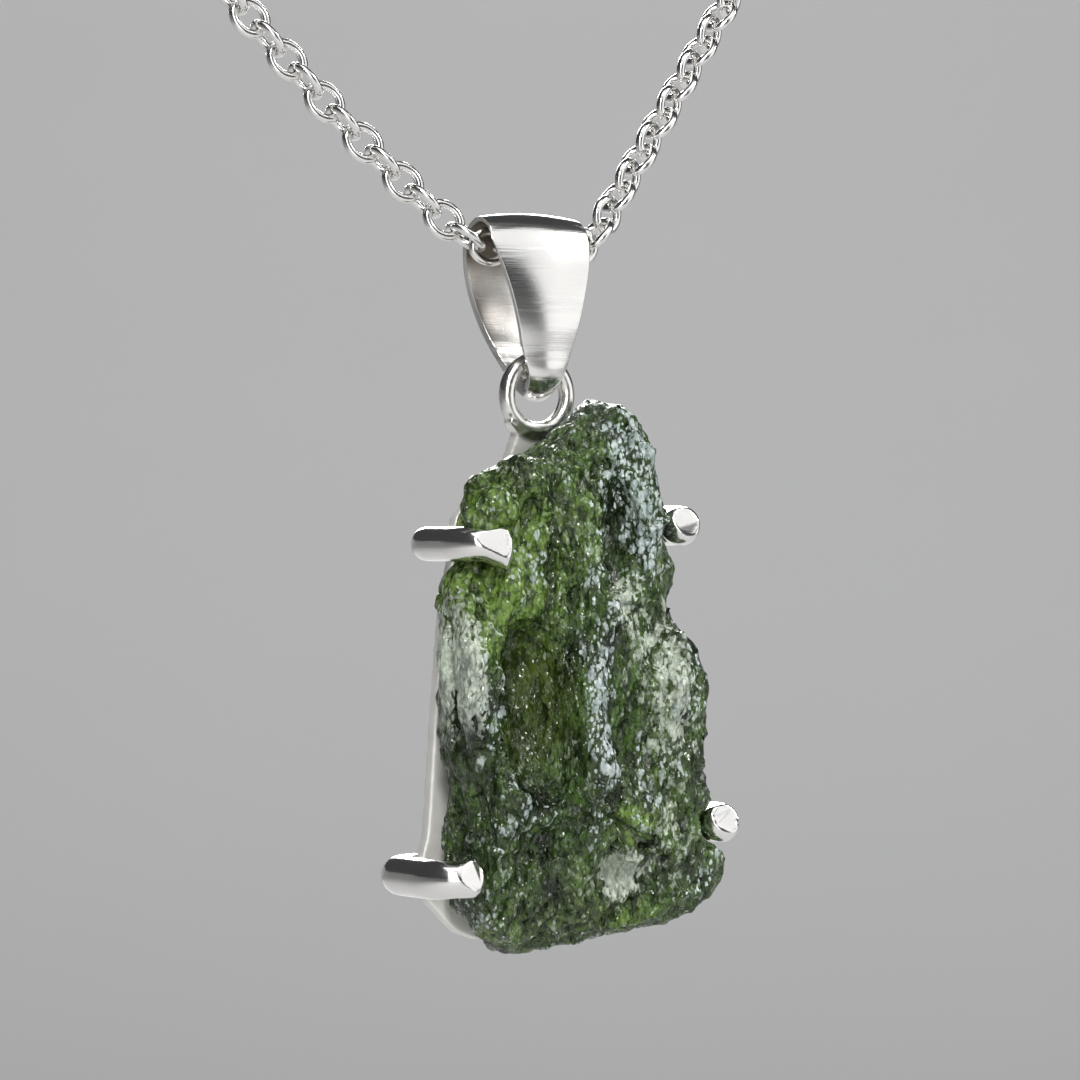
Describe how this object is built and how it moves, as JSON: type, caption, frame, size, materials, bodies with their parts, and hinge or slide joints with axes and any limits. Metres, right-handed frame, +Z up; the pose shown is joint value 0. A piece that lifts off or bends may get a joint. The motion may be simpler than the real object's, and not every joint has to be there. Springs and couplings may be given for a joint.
{
  "type": "moldavite pendant",
  "caption": "Raw green moldavite held by round silver prongs on an open back frame, hanging from a tapered bail on a piece of cable chain.",
  "frame": {"origin": "the middle of the chain's lowest link, inside the bail, from which the pendant hangs", "axes": "+Z up along the hanging pendant, +X to the right across the stone's face, +Y to the back, away from the face"},
  "size_m": [0.0364, 0.0151, 0.0522],
  "materials": {
    "moldavite": "rough etched natural glass, clear green inside",
    "satin_silver": "satin silver",
    "bail_silver": "polished silver with a faint brushed grain",
    "prong_silver": "polished silver",
    "chain_silver": "polished silver"
  },
  "bodies": {
    "chain": {"chain_link_middle": "chain_silver", "chain_link_left_01": "chain_silver", "chain_link_left_02": "chain_silver", "chain_link_left_03": "chain_silver", "chain_link_left_04": "chain_silver", "chain_link_left_05": "chain_silver", "chain_link_left_06": "chain_silver", "chain_link_left_07": "chain_silver", "chain_link_left_08": "chain_silver", "chain_link_left_09": "chain_silver", "chain_link_left_10": "chain_silver", "chain_link_left_11": "chain_silver", "chain_link_left_12": "chain_silver", "chain_link_left_13": "chain_silver", "chain_link_left_14": "chain_silver", "chain_link_left_15": "chain_silver", "chain_link_left_16": "chain_silver", "chain_link_right_01": "chain_silver", "chain_link_right_02": "chain_silver", "chain_link_right_03": "chain_silver", "chain_link_right_04": "chain_silver", "chain_link_right_05": "chain_silver", "chain_link_right_06": "chain_silver", "chain_link_right_07": "chain_silver", "chain_link_right_08": "chain_silver", "chain_link_right_09": "chain_silver", "chain_link_right_10": "chain_silver", "chain_link_right_11": "chain_silver", "chain_link_right_12": "chain_silver", "chain_link_right_13": "chain_silver", "chain_link_right_14": "chain_silver", "chain_link_right_15": "chain_silver", "chain_link_right_16": "chain_silver", "chain_end_ring_left": "chain_silver", "chain_end_ring_right": "chain_silver"},
    "bail": {"bail": "bail_silver"},
    "pendant": {"moldavite_stone": "moldavite", "setting_frame": "satin_silver", "prong_upper_left": "prong_silver", "prong_upper_right": "prong_silver", "prong_lower_left": "prong_silver", "prong_lower_right": "prong_silver"}
  },
  "joints": [
    {"name": "bail_swing", "type": "hinge", "parent": "chain", "child": "bail", "pos_m": [0, 0, 0], "axis": [1, 0, 0], "range_deg": [-45, 45]},
    {"name": "pendant_swing", "type": "hinge", "parent": "bail", "child": "pendant", "pos_m": [-0.0005, -0.0008, -0.00555], "axis": [1, 0, 0], "range_deg": [-45, 75]}
  ]
}
